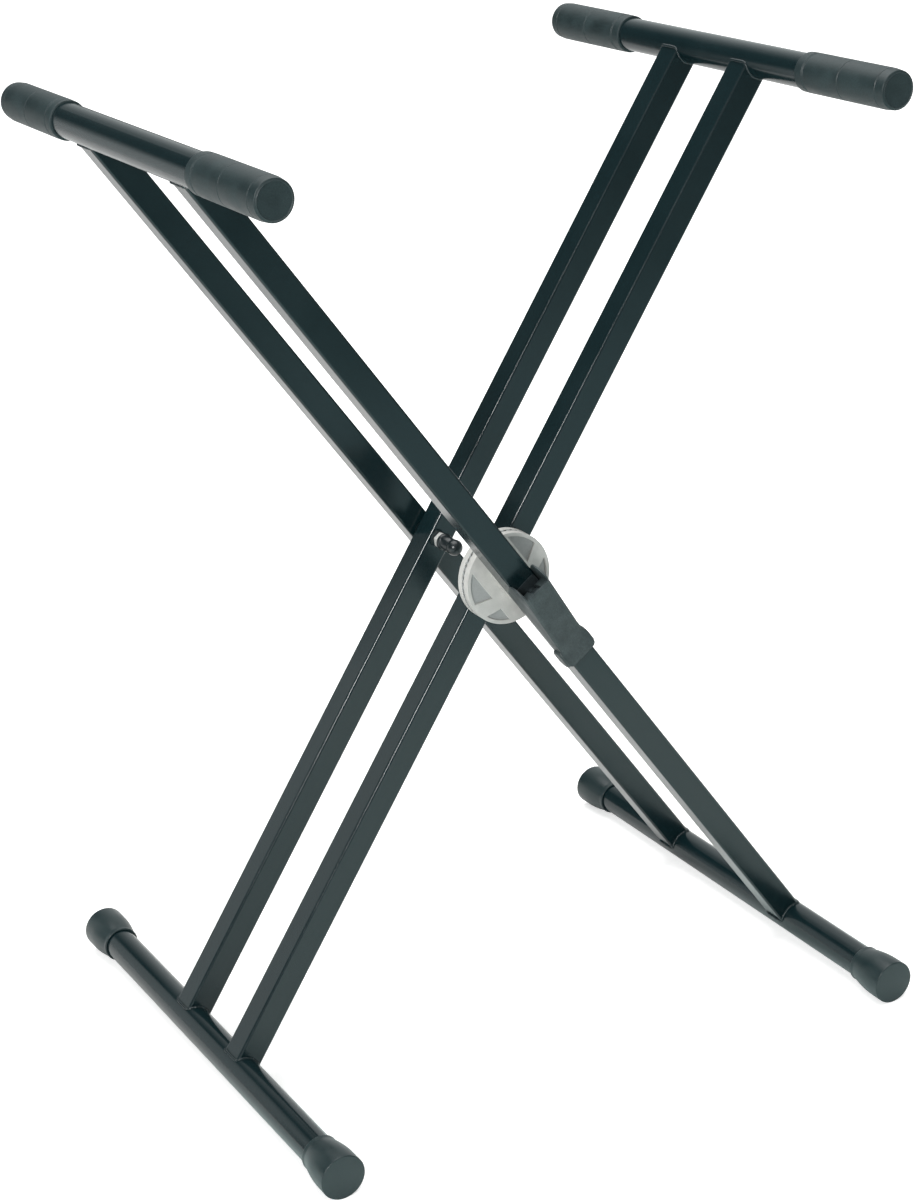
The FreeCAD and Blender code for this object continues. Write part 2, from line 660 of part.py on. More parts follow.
def lug(side):
    """Rounded finger lug beside the leg at the lever's end."""
    inner, outer = cheek_inner, cheek_outer + LUG_PROUD
    r = LUG_RADIUS
    edges = [
        line(lever_point(LUG_START, r - LUG_DEPTH), lever_point(LUG_FINISH, r - LUG_DEPTH)),
        arc(lever_point(LUG_FINISH, r - LUG_DEPTH), lever_point(LUG_FINISH + r, -LUG_DEPTH),
            lever_point(LUG_FINISH, -r - LUG_DEPTH)),
        line(lever_point(LUG_FINISH, -r - LUG_DEPTH), lever_point(LUG_START, -r - LUG_DEPTH)),
        arc(lever_point(LUG_START, -r - LUG_DEPTH), lever_point(LUG_START - r, -LUG_DEPTH),
            lever_point(LUG_START, r - LUG_DEPTH)),
    ]
    shape = lever_prism(edges, inner, outer)
    rim = [e for e in shape.Edges if all(abs(v.X - outer) < NEAR for v in e.Vertexes)]
    shape = shape.makeChamfer(LUG_BEVEL, rim)
    # a web carries the lug up to the end plate
    web = box(lever_point(LEVER_END - CLIP_CORNER, LEVER_FLAT[1] - LEVER_SKIN / 2, inner),
              lever_point(LEVER_FLAT[0], -LUG_DEPTH, cheek_outer))
    shape = shape.fuse(web)
    if side < 0:
        shape = shape.mirror(Vec(0, 0, 0), Vec(1, 0, 0))
    return shape


def clamp_lever():
    body = lever_shell()
    pieces = [clip_plate(), lug(1), lug(-1)]
    lobe_end = cheek_outer - LEVER_WALL / 2
    pieces += [cam_lobe(notch_half, lobe_end), cam_lobe(-lobe_end, -notch_half)]
    body = body.multiFuse(pieces)
    across = Vec(1, 0, 0)
    clear = Part.makeCylinder(EYE_RADIUS + NOTCH_ROOM, 2 * notch_half,
                              Vec(-notch_half, pin_y, 0), across)
    hole = Part.makeCylinder(pin_radius, 2 * cheek_outer, Vec(-cheek_outer, pin_y, 0), across)
    past = LEVER_NOSE[1][0] - OVERLAP
    mouth = box(lever_point(past, -LEVER_STRADDLE - OVERLAP, -notch_half),
                lever_point(LEVER_TOP[0], LEVER_TOP[1] + OVERLAP, notch_half))
    body = body.cut([clear, hole, mouth])
    return body.removeSplitter()


def lever_pin():
    length = 2 * cheek_outer
    return Part.makeCylinder(pin_radius, length, Vec(-length / 2, pin_y, 0), Vec(1, 0, 0))


# ---------------------------------------------------------------- assembly
sleeve = sleeve_blank()
boot = boot_blank()

frames = (("outer", outer_y, lean_outer), ("inner", inner_y, lean_inner))
for frame_name, frame_y, lean in frames:
    export(frame_name + "_support_bar", lean(bar(frame_y, support_tube, half_leg)))
    export(frame_name + "_foot_bar", lean(bar(frame_y, foot_tube, -half_leg)))
    for end_name, is_front in (("front", True), ("rear", False)):
        piece = on_bar_end(sleeve, SLEEVE_LENGTH, frame_y, SUPPORT_LENGTH, half_leg, is_front)
        export(frame_name + "_" + end_name + "_sleeve", lean(piece))
        piece = on_bar_end(boot, FOOT_CAP_LENGTH, frame_y, FOOT_LENGTH, -half_leg, is_front)
        export(frame_name + "_" + end_name + "_foot", lean(piece))

export("outer_front_leg", lean_outer(outer_front_leg))
export("outer_rear_leg", lean_outer(outer_rear_leg))
export("inner_front_leg", lean_inner(inner_front_leg))
export("inner_rear_leg", lean_inner(inner_rear_leg))

export("outer_toothed_disc", lean_outer(outer_disc()))
export("inner_toothed_disc", lean_inner(inner_disc()))
export("release_spring", lean_outer(release_spring()))
export("cam_pad", lean_outer(cam_pad()))
export("clamp_eye_bolt", lean_outer(eye_bolt()))
export("clamp_washer", lean_outer(washer(clamp_washer_low, WASHER_DIAMETER, WASHER_THICKNESS)))
export("clamp_nut", lean_outer(nut(clamp_nut_low)))
export("clamp_lever", lean_outer(clamp_lever()))
export("lever_pin", lean_outer(lever_pin()))

export("rear_pivot_bolt", lean_outer(rear_bolt()))
export("rear_head_washer", lean_outer(washer(outer_rear + half_side, WASHER_DIAMETER, WASHER_THICKNESS)))
export("rear_leg_spacer", lean_outer(washer(outer_rear - half_side - SPACER_THICKNESS,
                                            SPACER_DIAMETER, SPACER_THICKNESS)))
export("rear_pivot_nut", lean_outer(nut(rear_nut_low)))
export("rear_bolt_cap", lean_outer(rear_cap()))

across_cos = round(cos(radians(HALF_ANGLE)), 5)
across_sin = round(sin(radians(HALF_ANGLE)), 5)
print("pivot height", round(pivot_height, 3), "release travel", round(release_travel, 3))
print("fold axis through", 0, 0, round(pivot_height, 3))
print("lever pin at y", round(pin_y, 3), "axis", across_cos, across_sin)
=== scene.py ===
import bmesh
import bpy
from math import copysign, cos, pi, radians, sin, sqrt, tan
from mathutils import Matrix, Vector


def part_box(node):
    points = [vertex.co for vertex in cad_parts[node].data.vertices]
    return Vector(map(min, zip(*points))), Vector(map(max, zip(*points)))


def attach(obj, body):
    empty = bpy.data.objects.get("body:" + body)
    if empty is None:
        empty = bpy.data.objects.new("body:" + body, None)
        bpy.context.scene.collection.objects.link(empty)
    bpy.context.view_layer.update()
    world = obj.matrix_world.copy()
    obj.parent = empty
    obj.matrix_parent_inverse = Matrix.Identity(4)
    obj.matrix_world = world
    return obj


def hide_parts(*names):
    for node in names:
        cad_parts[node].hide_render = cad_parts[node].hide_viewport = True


# A folding keyboard stand: two crossed frames of square and round steel tube, rubber sleeves for the
# keyboard to lie on, rubber boots on the floor, and a toothed clamp with a cam lever at the crossing.
# Lengths are in millimetres where they are written and in metres once they reach a mesh.
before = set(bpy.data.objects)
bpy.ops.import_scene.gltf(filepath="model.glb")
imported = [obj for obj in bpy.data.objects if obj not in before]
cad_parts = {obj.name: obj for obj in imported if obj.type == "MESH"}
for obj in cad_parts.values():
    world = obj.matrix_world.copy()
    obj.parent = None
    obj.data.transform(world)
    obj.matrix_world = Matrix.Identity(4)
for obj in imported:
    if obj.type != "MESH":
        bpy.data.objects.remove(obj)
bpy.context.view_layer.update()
MM = 0.001

# ---------------------------------------------------------------- viewpoint
# The stand is seen from the front left and from above, through a long lens held a little crooked.
# The camera stands at chest height, a little over two metres from the crossing.
PHOTO_WIDTH, PHOTO_HEIGHT = 915, 1200
CAMERA_PLACE = Vector((-1028.7, -1833.8, 1232.5)) * MM
CAMERA_TURN = radians(29.02)       # to the left of straight on
CAMERA_TILT = radians(21.9)        # looking down
CAMERA_ROLL = radians(-2.89)
FOCAL_PIXELS = 2502.4
SENSOR_MM = 36.0
IMAGE_CENTRE = (457.0, 600.0)

forward = Vector((sin(CAMERA_TURN) * cos(CAMERA_TILT), cos(CAMERA_TURN) * cos(CAMERA_TILT),
                  -sin(CAMERA_TILT)))
level_right = Vector((cos(CAMERA_TURN), -sin(CAMERA_TURN), 0.0))
level_up = level_right.cross(forward)
right = level_right * cos(CAMERA_ROLL) + level_up * sin(CAMERA_ROLL)
up = level_up * cos(CAMERA_ROLL) - level_right * sin(CAMERA_ROLL)
camera = bpy.data.objects.new("camera", bpy.data.cameras.new("camera"))
camera.data.sensor_width = SENSOR_MM
camera.data.lens = FOCAL_PIXELS * SENSOR_MM / PHOTO_HEIGHT
camera.data.shift_x = (PHOTO_WIDTH / 2 - IMAGE_CENTRE[0]) / PHOTO_HEIGHT
camera.data.shift_y = (IMAGE_CENTRE[1] - PHOTO_HEIGHT / 2) / PHOTO_HEIGHT
turned = Matrix((right, up, -forward)).transposed().to_4x4()
camera.matrix_world = Matrix.Translation(CAMERA_PLACE) @ turned
bpy.context.scene.collection.objects.link(camera)
bpy.context.scene.camera = camera

# ---------------------------------------------------------------- painted tubes
# Four square legs and four round bars of mild steel tube, welded into two frames, blasted and then
# powder coated in a glossy blue-black. The coat lies over the weld beads too. Its surface has the
# faint orange peel of baked powder, and reflections break up a little on it.
PAINT_DARK = "#091A1D"
PAINT_LIGHT = "#0F2124"
PAINT_ROUGHNESS = (0.15, 0.23)
PEEL = (1.6, 1.5)                  # a noise's spacing in millimetres and its octaves of detail
PEEL_BUMP = (0.12, 0.05)           # strength, and depth in millimetres
CLOUD = (60.0, 3.0)                # slow change in the coat's thickness
PAINT_IOR = 1.5
NOISE_RANGE = (0.3, 0.7)           # where nearly all of a noise's values lie


def linear(colour):
    """An sRGB hex colour as linear red, green, blue and alpha."""
    parts = [int(colour[i:i + 2], 16) / 255 for i in (1, 3, 5)]
    return [p / 12.92 if p <= 0.04045 else ((p + 0.055) / 1.055) ** 2.4 for p in parts] + [1.0]


def add_node(tree, kind, inputs=None, **settings):
    """Add a node, set its properties, and give each input a value or a link from another socket."""
    node = tree.nodes.new(kind)
    for name, value in settings.items():
        setattr(node, name, value)
    for key, value in (inputs or {}).items():
        if isinstance(value, bpy.types.NodeSocket):
            tree.links.new(value, node.inputs[key])
        else:
            node.inputs[key].default_value = value
    return node


def new_material(name):
    """A material with nothing in its tree yet, and the tree."""
    material = bpy.data.materials.new(name)
    material.use_nodes = True
    material.node_tree.nodes.clear()
    return material, material.node_tree


def noise(tree, spacing, detail, roughness=0.5):
    """Noise on the piece's own coordinates, with its spacing in millimetres."""
    place = add_node(tree, "ShaderNodeTexCoord").outputs["Object"]
    return add_node(tree, "ShaderNodeTexNoise", {
        "Vector": place, "Scale": 1 / (spacing * MM), "Detail": detail,
        "Roughness": roughness}).outputs["Fac"]


def rescaled(tree, value, old, new=(0.0, 1.0)):
    """Carry a value from its old range over to the new one, and keep it inside."""
    return add_node(tree, "ShaderNodeMapRange", {
        "Value": value, 1: old[0], 2: old[1], 3: new[0], 4: new[1]}).outputs[0]


def blend(tree, share, first, second):
    """Mix two colours, each a hex colour or a socket."""
    first, second = [linear(c) if isinstance(c, str) else c for c in (first, second)]
    return add_node(tree, "ShaderNodeMix", {0: share, 6: first, 7: second}, data_type="RGBA").outputs[2]


def bumps(tree, height, strength, depth):
    """Normals of a relief that is so many millimetres deep."""
    return add_node(tree, "ShaderNodeBump", {
        "Height": height, "Strength": strength, "Distance": depth * MM}).outputs[0]


def surface(tree, inputs):
    """End a material's tree with a principled surface."""
    shader = add_node(tree, "ShaderNodeBsdfPrincipled", inputs)
    add_node(tree, "ShaderNodeOutputMaterial", {"Surface": shader.outputs[0]})


def paint_node(name, material):
    """Give a part that keeps its own mesh its finished material."""
    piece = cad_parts[name]
    for slot in piece.material_slots:
        slot.material = material


powder_coat, tree = new_material("glossy blue-black powder coat")
cloud = noise(tree, *CLOUD)
surface(tree, {
    "Base Color": blend(tree, cloud, PAINT_DARK, PAINT_LIGHT),
    "Roughness": rescaled(tree, cloud, NOISE_RANGE, PAINT_ROUGHNESS),
    "Normal": bumps(tree, noise(tree, *PEEL), *PEEL_BUMP), "IOR": PAINT_IOR})

for frame_name in ("outer", "inner"):
    for part in ("support_bar", "foot_bar", "front_leg", "rear_leg"):
        paint_node(frame_name + "_" + part, powder_coat)

# ---------------------------------------------------------------- weld beads
# Each leg is welded to its bars all round its coped end, with a bead about 3 mm wide laid down in
# overlapping drops. The powder coat has softened the drops, so they show as a low rippled fillet.
BEAD_WIDTH = 3.2
BEAD_STEP = 1.5                    # from one drop to the next
BEAD_SIZES = (0.85, 1.12)          # smallest and largest drop, as shares of the width
BEAD_SUBDIVISIONS = 2
BEAD_SEED = 7
BEAD_OUT = 0.3                     # the bead's middle lies this far outside the leg's face
SEAM_POINTS = 48                   # round each leg's end
SEAM_POWER = 0.25                  # of a superellipse: the lower, the squarer


def centre_of(node):
    low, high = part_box(node)
    return (low + high) / 2


def radius_of(node):
    """Radius, in metres, of a round part that lies along the fold axis."""
    low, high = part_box(node)
    return (high.z - low.z) / 2


def leg_axes(frame_name, part):
    """Middle of a leg, the directions up it and across it, and half the way between its bars."""
    top = centre_of(frame_name + "_support_bar")
    foot = centre_of(frame_name + "_foot_bar")
    along = (top - foot).normalized()
    across = Vector((0.0, 1.0, 0.0)).cross(along)
    middle = (top + foot) / 2
    middle.y = centre_of(frame_name + "_" + part).y
    return middle, along, across, (top - foot).length / 2


def mesh_object(name, vertices, edges, faces):
    mesh = bpy.data.meshes.new(name)
    mesh.from_pydata([tuple(v) for v in vertices], edges, faces)
    piece = bpy.data.objects.new(name, mesh)
    bpy.context.scene.collection.objects.link(piece)
    return piece


def geometry_tree(name, sockets):
    """A geometry tree with a geometry going in and out, and named inputs for its sizes."""
    tree = bpy.data.node_groups.new(name, "GeometryNodeTree")
    tree.interface.new_socket("Geometry", in_out="INPUT", socket_type="NodeSocketGeometry")
    for label, kind in sockets:
        tree.interface.new_socket(label, in_out="INPUT", socket_type=kind)
    tree.interface.new_socket("Geometry", in_out="OUTPUT", socket_type="NodeSocketGeometry")
    return tree, add_node(tree, "NodeGroupInput").outputs


def grow(piece, tree, values):
    """Run a geometry tree on a piece and keep the result as the piece's own plain mesh."""
    modifier = piece.modifiers.new(tree.name, "NODES")
    modifier.node_group = tree
    for item in tree.interface.items_tree:
        if item.in_out == "INPUT" and item.name in values:
            modifier[item.identifier] = values[item.name]
    piece.update_tag()
    shown = piece.evaluated_get(bpy.context.evaluated_depsgraph_get())
    mesh = bpy.data.meshes.new_from_object(shown)
    mesh.name = piece.name
    piece.modifiers.remove(modifier)
    piece.data = mesh


def finish(piece, material, body, slot, *replaced):
    """Give a new piece its material and its body, and hide the parts that it stands for. The slot is not
    used.
    """
    if not piece.data.materials:
        piece.data.materials.append(material)
    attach(piece, body)
    if replaced:
        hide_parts(*replaced)


bead_tree, given = geometry_tree("weld bead", (
    ("Width", "NodeSocketFloat"), ("Step", "NodeSocketFloat"), ("Seed", "NodeSocketInt"),
    ("Material", "NodeSocketMaterial")))
seam = add_node(bead_tree, "GeometryNodeMeshToCurve", {"Mesh": given["Geometry"]})
drops = add_node(bead_tree, "GeometryNodeCurveToPoints",
                 {"Curve": seam.outputs[0], "Length": given["Step"]}, mode="LENGTH")
half_width = add_node(bead_tree, "ShaderNodeMath", {0: given["Width"], 1: 0.5}, operation="MULTIPLY")
drop = add_node(bead_tree, "GeometryNodeMeshIcoSphere",
                {"Radius": half_width.outputs[0], "Subdivisions": BEAD_SUBDIVISIONS})
jitter = add_node(bead_tree, "FunctionNodeRandomValue",
                  {2: BEAD_SIZES[0], 3: BEAD_SIZES[1], "Seed": given["Seed"]}, data_type="FLOAT")
placed = add_node(bead_tree, "GeometryNodeInstanceOnPoints", {
    "Points": drops.outputs["Points"], "Instance": drop.outputs["Mesh"],
    "Rotation": drops.outputs["Rotation"], "Scale": jitter.outputs[1]})
solid = add_node(bead_tree, "GeometryNodeRealizeInstances", {0: placed.outputs[0]})
smooth = add_node(bead_tree, "GeometryNodeSetShadeSmooth", {"Geometry": solid.outputs[0]})
coated = add_node(bead_tree, "GeometryNodeSetMaterial",
                  {"Geometry": smooth.outputs[0], "Material": given["Material"]})
add_node(bead_tree, "NodeGroupOutput", {0: coated.outputs[0]})


def seam_points(frame_name, part, end):
    """Closed loop round a leg's end, on the surface of the bar that it meets."""
    middle, along, across, reach = leg_axes(frame_name, part)
    low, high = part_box(frame_name + "_" + part)
    half = (high.y - low.y) / 2 + BEAD_OUT * MM
    radius = radius_of(frame_name + "_support_bar")
    loop = []
    for i in range(SEAM_POINTS):
        turn = 2 * pi * i / SEAM_POINTS
        # a square with rounded corners, as a superellipse
        x = copysign(abs(cos(turn)) ** SEAM_POWER * half, cos(turn))
        y = copysign(abs(sin(turn)) ** SEAM_POWER * half, sin(turn))
        rise = reach - sqrt(max(radius ** 2 - x ** 2, 0.0))
        loop.append(middle + across * x + Vector((0, y, 0)) + along * (end * rise))
    return loop


for frame_name in ("outer", "inner"):
    vertices, edges = [], []
    for part in ("front_leg", "rear_leg"):
        for end in (-1, 1):
            first = len(vertices)
            vertices += seam_points(frame_name, part, end)
            edges += [(first + i, first + (i + 1) % SEAM_POINTS) for i in range(SEAM_POINTS)]
    bead = mesh_object(frame_name + "_weld_beads", vertices, edges, [])
    grow(bead, bead_tree, {"Width": BEAD_WIDTH * MM, "Step": BEAD_STEP * MM, "Seed": BEAD_SEED,
                           "Material": powder_coat})
    finish(bead, powder_coat, frame_name + "_frame", "painted_tube")

# ---------------------------------------------------------------- support sleeves
# Four thick rubber sleeves, moulded closed at one end and pushed over the ends of the support bars.
# Matte black rubber with a fine spark-eroded grain, moulded rings and a plain end face in a rim.
SLEEVE_DARK = "#102022"
SLEEVE_LIGHT = "#243537"
SLEEVE_GRAIN = (1.4, 4.0, 0.62)    # coarser than the real grain, so that it shows
SLEEVE_WEAR = (22.0, 5.0)
SLEEVE_MOTTLE = (0.12, 0.42)
SLEEVE_ROUGHNESS = (0.44, 0.58)
SLEEVE_BUMP = (0.35, 0.12)
RUBBER_IOR = 1.5
SLEEVE_END_ROUND = 1.8
SLEEVE_MOUTH_ROUND = 1.2
SLEEVE_RING_PLACES = (10.2, 12.0, 58.0, 106.8)    # from the open end
SLEEVE_RING_DEPTH = 0.45
SLEEVE_RING_HALF = 0.55
SLEEVE_FACE_SINK = 0.5             # the end face lies this far below its rim
SLEEVE_FACE_RIM = 1.0
BAR_FIT = 0.1
BORE_SHOWN = 12.0                  # the rest of the bore is filled by the bar
ROUNDING_STEPS = 5
LATHE_SIDES = 96
LATHE_WELD = 1e-6                  # in metres
LATHE_SHARP = 35.0                 # in degrees


def rounded(profile, roundings):
    """Replace chosen corners of an open profile by arcs. Roundings gives a radius for a corner's index."""
    out = []
    for i, corner in enumerate(profile):
        radius = roundings.get(i)
        if not radius:
            out.append(corner)
            continue
        before = (Vector(profile[i - 1]) - Vector(corner)).normalized()
        after = (Vector(profile[i + 1]) - Vector(corner)).normalized()
        half = before.angle(after) / 2
        reach = radius / tan(half)
        centre = Vector(corner) + (before + after).normalized() * (radius / sin(half))
        start = Vector(corner) + before * reach - centre
        stop = Vector(corner) + after * reach - centre
        for k in range(ROUNDING_STEPS + 1):
            out.append(tuple(centre + start.slerp(stop, k / ROUNDING_STEPS, start)))
    return out


def lathe(name, profile, origin, outward, sides=LATHE_SIDES):
    """Turn a profile of (distance out, radius), in millimetres, about the Y axis through origin."""
    vertices, faces = [], []
    for out, radius in profile:
        for k in range(sides):
            turn = 2 * pi * k / sides
            vertices.append(origin + Vector((radius * cos(turn), outward * out, radius * sin(turn))) * MM)
    for ring in range(len(profile) - 1):
        for k in range(sides):
            a, b = ring * sides + k, ring * sides + (k + 1) % sides
            faces.append((a, b, b + sides, a + sides))
    piece = mesh_object(name, vertices, [], faces)
    mesh = bmesh.new()
    mesh.from_mesh(piece.data)
    bmesh.ops.remove_doubles(mesh, verts=mesh.verts, dist=LATHE_WELD)
    bmesh.ops.holes_fill(mesh, edges=mesh.edges)
    bmesh.ops.recalc_face_normals(mesh, faces=mesh.faces)
    mesh.to_mesh(piece.data)
    mesh.free()
    smooth_by_angle(piece, LATHE_SHARP)
    return piece


def smooth_by_angle(piece, limit):
    """Smooth faces, with the edges that turn by more than this many degrees kept sharp."""
    mesh = bmesh.new()
    mesh.from_mesh(piece.data)
    for face in mesh.faces:
        face.smooth = True
    for edge in mesh.edges:
        turn = edge.calc_face_angle(0.0) if len(edge.link_faces) == 2 else 0.0
        edge.smooth = turn < radians(limit)
    mesh.to_mesh(piece.data)
    mesh.free()


def math_node(tree, operation, first, second):
    return add_node(tree, "ShaderNodeMath", {0: first, 1: second}, operation=operation).outputs[0]


def mottled(tree, fine, coarse, limits, dark, light):
    """A colour that follows a fine noise more where a coarse one is high."""
    share = rescaled(tree, math_node(tree, "MULTIPLY", fine, coarse), limits)
    return blend(tree, share, dark, light)


grained_rubber, tree = new_material("moulded black rubber, fine grain")
grain = noise(tree, *SLEEVE_GRAIN)
wear = noise(tree, *SLEEVE_WEAR)
surface(tree, {
    "Base Color": mottled(tree, grain, wear, SLEEVE_MOTTLE, SLEEVE_DARK, SLEEVE_LIGHT),
    "Roughness": rescaled(tree, wear, NOISE_RANGE, SLEEVE_ROUGHNESS),
    "Normal": bumps(tree, grain, *SLEEVE_BUMP), "IOR": RUBBER_IOR})

for frame_name in ("outer", "inner"):
    for side, outward in (("front", -1), ("rear", 1)):
        node = frame_name + "_" + side + "_sleeve"
        low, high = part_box(node)
        length = (high.y - low.y) / MM
        radius = radius_of(node) / MM
        bore = radius_of(frame_name + "_support_bar") / MM + BAR_FIT
        mouth = centre_of(node)
        mouth.y = high.y if outward < 0 else low.y
        outline = [(BORE_SHOWN, bore), (0.0, bore), (0.0, radius)]
        for ring in SLEEVE_RING_PLACES:
            outline += [(ring - SLEEVE_RING_HALF, radius), (ring, radius - SLEEVE_RING_DEPTH),
                        (ring + SLEEVE_RING_HALF, radius)]
        rim = radius - SLEEVE_END_ROUND - SLEEVE_FACE_RIM
        end_corner = len(outline)
        outline += [(length, radius), (length, rim), (length - SLEEVE_FACE_SINK, rim - SLEEVE_FACE_SINK),
                    (length - SLEEVE_FACE_SINK, 0.0)]
        outline = rounded(outline, {2: SLEEVE_MOUTH_ROUND, end_corner: SLEEVE_END_ROUND})
        sleeve = lathe("rubber_" + node, outline, mouth, outward)
        finish(sleeve, grained_rubber, frame_name + "_frame", "rubber", node)

# ---------------------------------------------------------------- foot boots
# Four rubber boots on the ends of the foot bars, each flaring from a thin lip to a wide round end
# that the stand rests on. Satin black and smoother than the sleeves, with a crisp edge to the end.
BOOT_DARK = "#142426"
BOOT_LIGHT = "#213133"
BOOT_GRAIN = (0.7, 3.0)
BOOT_SCUFFS = (14.0, 6.0, 0.6)
BOOT_ROUGHNESS = (0.3, 0.42)
BOOT_BUMP = (0.2, 0.06)
BOOT_EDGE_ROUND = 0.9
BOOT_LIP_ROUND = 0.5
BOOT_FLARE_STEPS = 14
BOOT_STRAIGHT = 14.0               # full-diameter stretch at the closed end
BOOT_LIP = 3.0
BOOT_NECK_WALL = 1.5

satin_rubber, tree = new_material("satin black rubber")
scuff = noise(tree, *BOOT_SCUFFS)
surface(tree, {
    "Base Color": blend(tree, scuff, BOOT_DARK, BOOT_LIGHT),
    "Roughness": rescaled(tree, scuff, NOISE_RANGE, BOOT_ROUGHNESS),
    "Normal": bumps(tree, noise(tree, *BOOT_GRAIN), *BOOT_BUMP), "IOR": RUBBER_IOR})

for frame_name in ("outer", "inner"):
    for side, outward in (("front", -1), ("rear", 1)):
        node = frame_name + "_" + side + "_foot"
        low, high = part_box(node)
        length = (high.y - low.y) / MM
        full = radius_of(node) / MM
        bore = radius_of(frame_name + "_foot_bar") / MM + BAR_FIT
        neck = bore + BOOT_NECK_WALL
        mouth = centre_of(node)
        mouth.y = high.y if outward < 0 else low.y
        run = length - BOOT_STRAIGHT - BOOT_LIP
        outline = [(BORE_SHOWN, bore), (0.0, bore), (0.0, neck)]
        for k in range(BOOT_FLARE_STEPS + 1):
            share = k / BOOT_FLARE_STEPS
            outline.append((BOOT_LIP + run * share, neck + (full - neck) * sin(pi / 2 * share)))
        end_corner = len(outline)
        outline += [(length, full), (length, 0.0)]
        outline = rounded(outline, {2: BOOT_LIP_ROUND, end_corner: BOOT_EDGE_ROUND})
        boot = lathe("rubber_" + node, outline, mouth, outward)
        finish(boot, satin_rubber, frame_name + "_frame", "boot_rubber", node)

# ---------------------------------------------------------------- toothed clamping discs
# Two die-cast discs face each other with rings of teeth. Light grey, bead-blasted and lacquered, with
# recessed fields beside the broad band that runs along the leg, and a raised saddle on the outer one.
# The floors of the fields are a darker grey: painted shade, standing in for the shade in these recesses.
CAST_FACE = "#C8C8C4"
CAST_SHADE = "#B8B9B5"
CAST_GRIT = (0.5, 4.0, 0.7)
CAST_FLOW = (9.0, 3.0)
CAST_MOTTLE = (0.12, 0.38)
CAST_BUMP = (0.35, 0.08)
CAST_METALLIC = 0.2
CAST_ROUGHNESS = 0.46
# painted shade: the darker grey given to the floors of the recessed fields
FIELD_SHADE_LIGHT = "#ABAEAD"
FIELD_SHADE_DARK = "#929796"
CAST_SAND = (1.1, 4.0)
CAST_SAND_BUMP = (0.4, 0.12)
FIELD_FLOOR_ROUGHNESS = 0.6
DISC_POCKET_DEPTH = 2.2
DISC_RIM = 3.6
DISC_BAND = 45.0
DISC_EDGE_ROUND = 0.4
DISC_BACK_ROUND = 0.3
DISC_EDGE_STEPS = 2                # in each rounded edge
DISC_BORE = 4.1
DISC_BORE_SIDES = 32
DISC_SIDES = 96
DISC_RIB = 13.0
DISC_RIB_TURN = radians(26.5)
DISC_RIB_DROP = 9.5
DISC_SADDLE = 12.0                 # height of the outer disc's saddle
DISC_SADDLE_LENGTH = 46.0
DISC_SADDLE_MARGIN = 1.0
DISC_SADDLE_ROOT = 1.0             # the saddle reaches this far into the disc
DISC_SADDLE_ROUND = 0.5
DISC_SADDLE_END_STEPS = 16
DISC_TOOTH_COUNT = 48
DISC_TOOTH_HEIGHT = 1.5
DISC_TOOTH_ROOT = 0.3              # each tooth reaches this far into the disc
DISC_TOOTH_INNER = 29.0
DISC_TOOTH_MARGIN = 0.1
DISC_ROOT_SHARE = 0.84
DISC_TIP_SHARE = 0.14
DISC_ARC_STEPS = 40
DISC_SHARP = 38.0                  # in degrees
FIELD_FLOOR_SLACK = 0.05

cast_lacquer, tree = new_material("bead-blasted grey casting")
grit = noise(tree, *CAST_GRIT)
flow = noise(tree, *CAST_FLOW)
surface(tree, {
    "Base Color": mottled(tree, grit, flow, CAST_MOTTLE, CAST_SHADE, CAST_FACE),
    "Metallic": CAST_METALLIC, "Roughness": CAST_ROUGHNESS, "Normal": bumps(tree, grit, *CAST_BUMP)})

# the field floors' material: a darker grey with a sand grain, as painted shade in the recesses
field_floor_shade, tree = new_material("grey casting with painted shade on field floors")
sand = noise(tree, *CAST_SAND)
surface(tree, {
    "Base Color": blend(tree, sand, FIELD_SHADE_DARK, FIELD_SHADE_LIGHT),
    "Metallic": CAST_METALLIC, "Roughness": FIELD_FLOOR_ROUGHNESS,
    "Normal": bumps(tree, sand, *CAST_SAND_BUMP)})


def field_outline(side, above, radius):
    """One recessed field as (across, along) points: between the band, the rim and the slanting rib."""
    slope = tan(DISC_RIB_TURN)
    half_rib = DISC_RIB / 2 / cos(DISC_RIB_TURN)
    band = DISC_BAND / 2
    edge = radius - DISC_RIM

    def rib_line(x):
        return -DISC_RIB_DROP + (x - band) * slope + (half_rib if above else -half_rib)

    points = []
    for k in range(DISC_ARC_STEPS + 1):
        turn = -pi / 2 + pi * k / DISC_ARC_STEPS
        x, z = edge * cos(turn), edge * sin(turn)
        inside = z > rib_line(x) if above else z < rib_line(x)
        if x > band and inside:
            points.append((x, z))
    # the arc's ends are carried to the band line and to the rib line
    corner = sqrt(edge ** 2 - band ** 2)
    if above:
        points += [(band, corner), (band, rib_line(band))]
    else:
        points = [(band, -corner)] + points + [(band, rib_line(band))]
    return [(side * x, z) for x, z in points]


def plate(name, outlines, thickness, edge_round, matrix):
    """Flat plate filled between closed outlines, with rounded edges, standing up from its plane."""
    curve = bpy.data.curves.new(name, "CURVE")
    curve.dimensions = "2D"
    curve.fill_mode = "BOTH"
    curve.extrude = (thickness / 2 - edge_round) * MM
    curve.bevel_depth = edge_round * MM
    curve.bevel_resolution = DISC_EDGE_STEPS
    curve.offset = -edge_round * MM
    for outline in outlines:
        spline = curve.splines.new("POLY")
        spline.points.add(len(outline) - 1)
        for point, (x, z) in zip(spline.points, outline):
            point.co = (x * MM, z * MM, 0.0, 1.0)
        spline.use_cyclic_u = True
    shape = bpy.data.objects.new(name, curve)
    bpy.context.scene.collection.objects.link(shape)
    mesh = bpy.data.meshes.new_from_object(shape.evaluated_get(bpy.context.evaluated_depsgraph_get()))
    bpy.data.objects.remove(shape)
    mesh.transform(matrix)
    return mesh


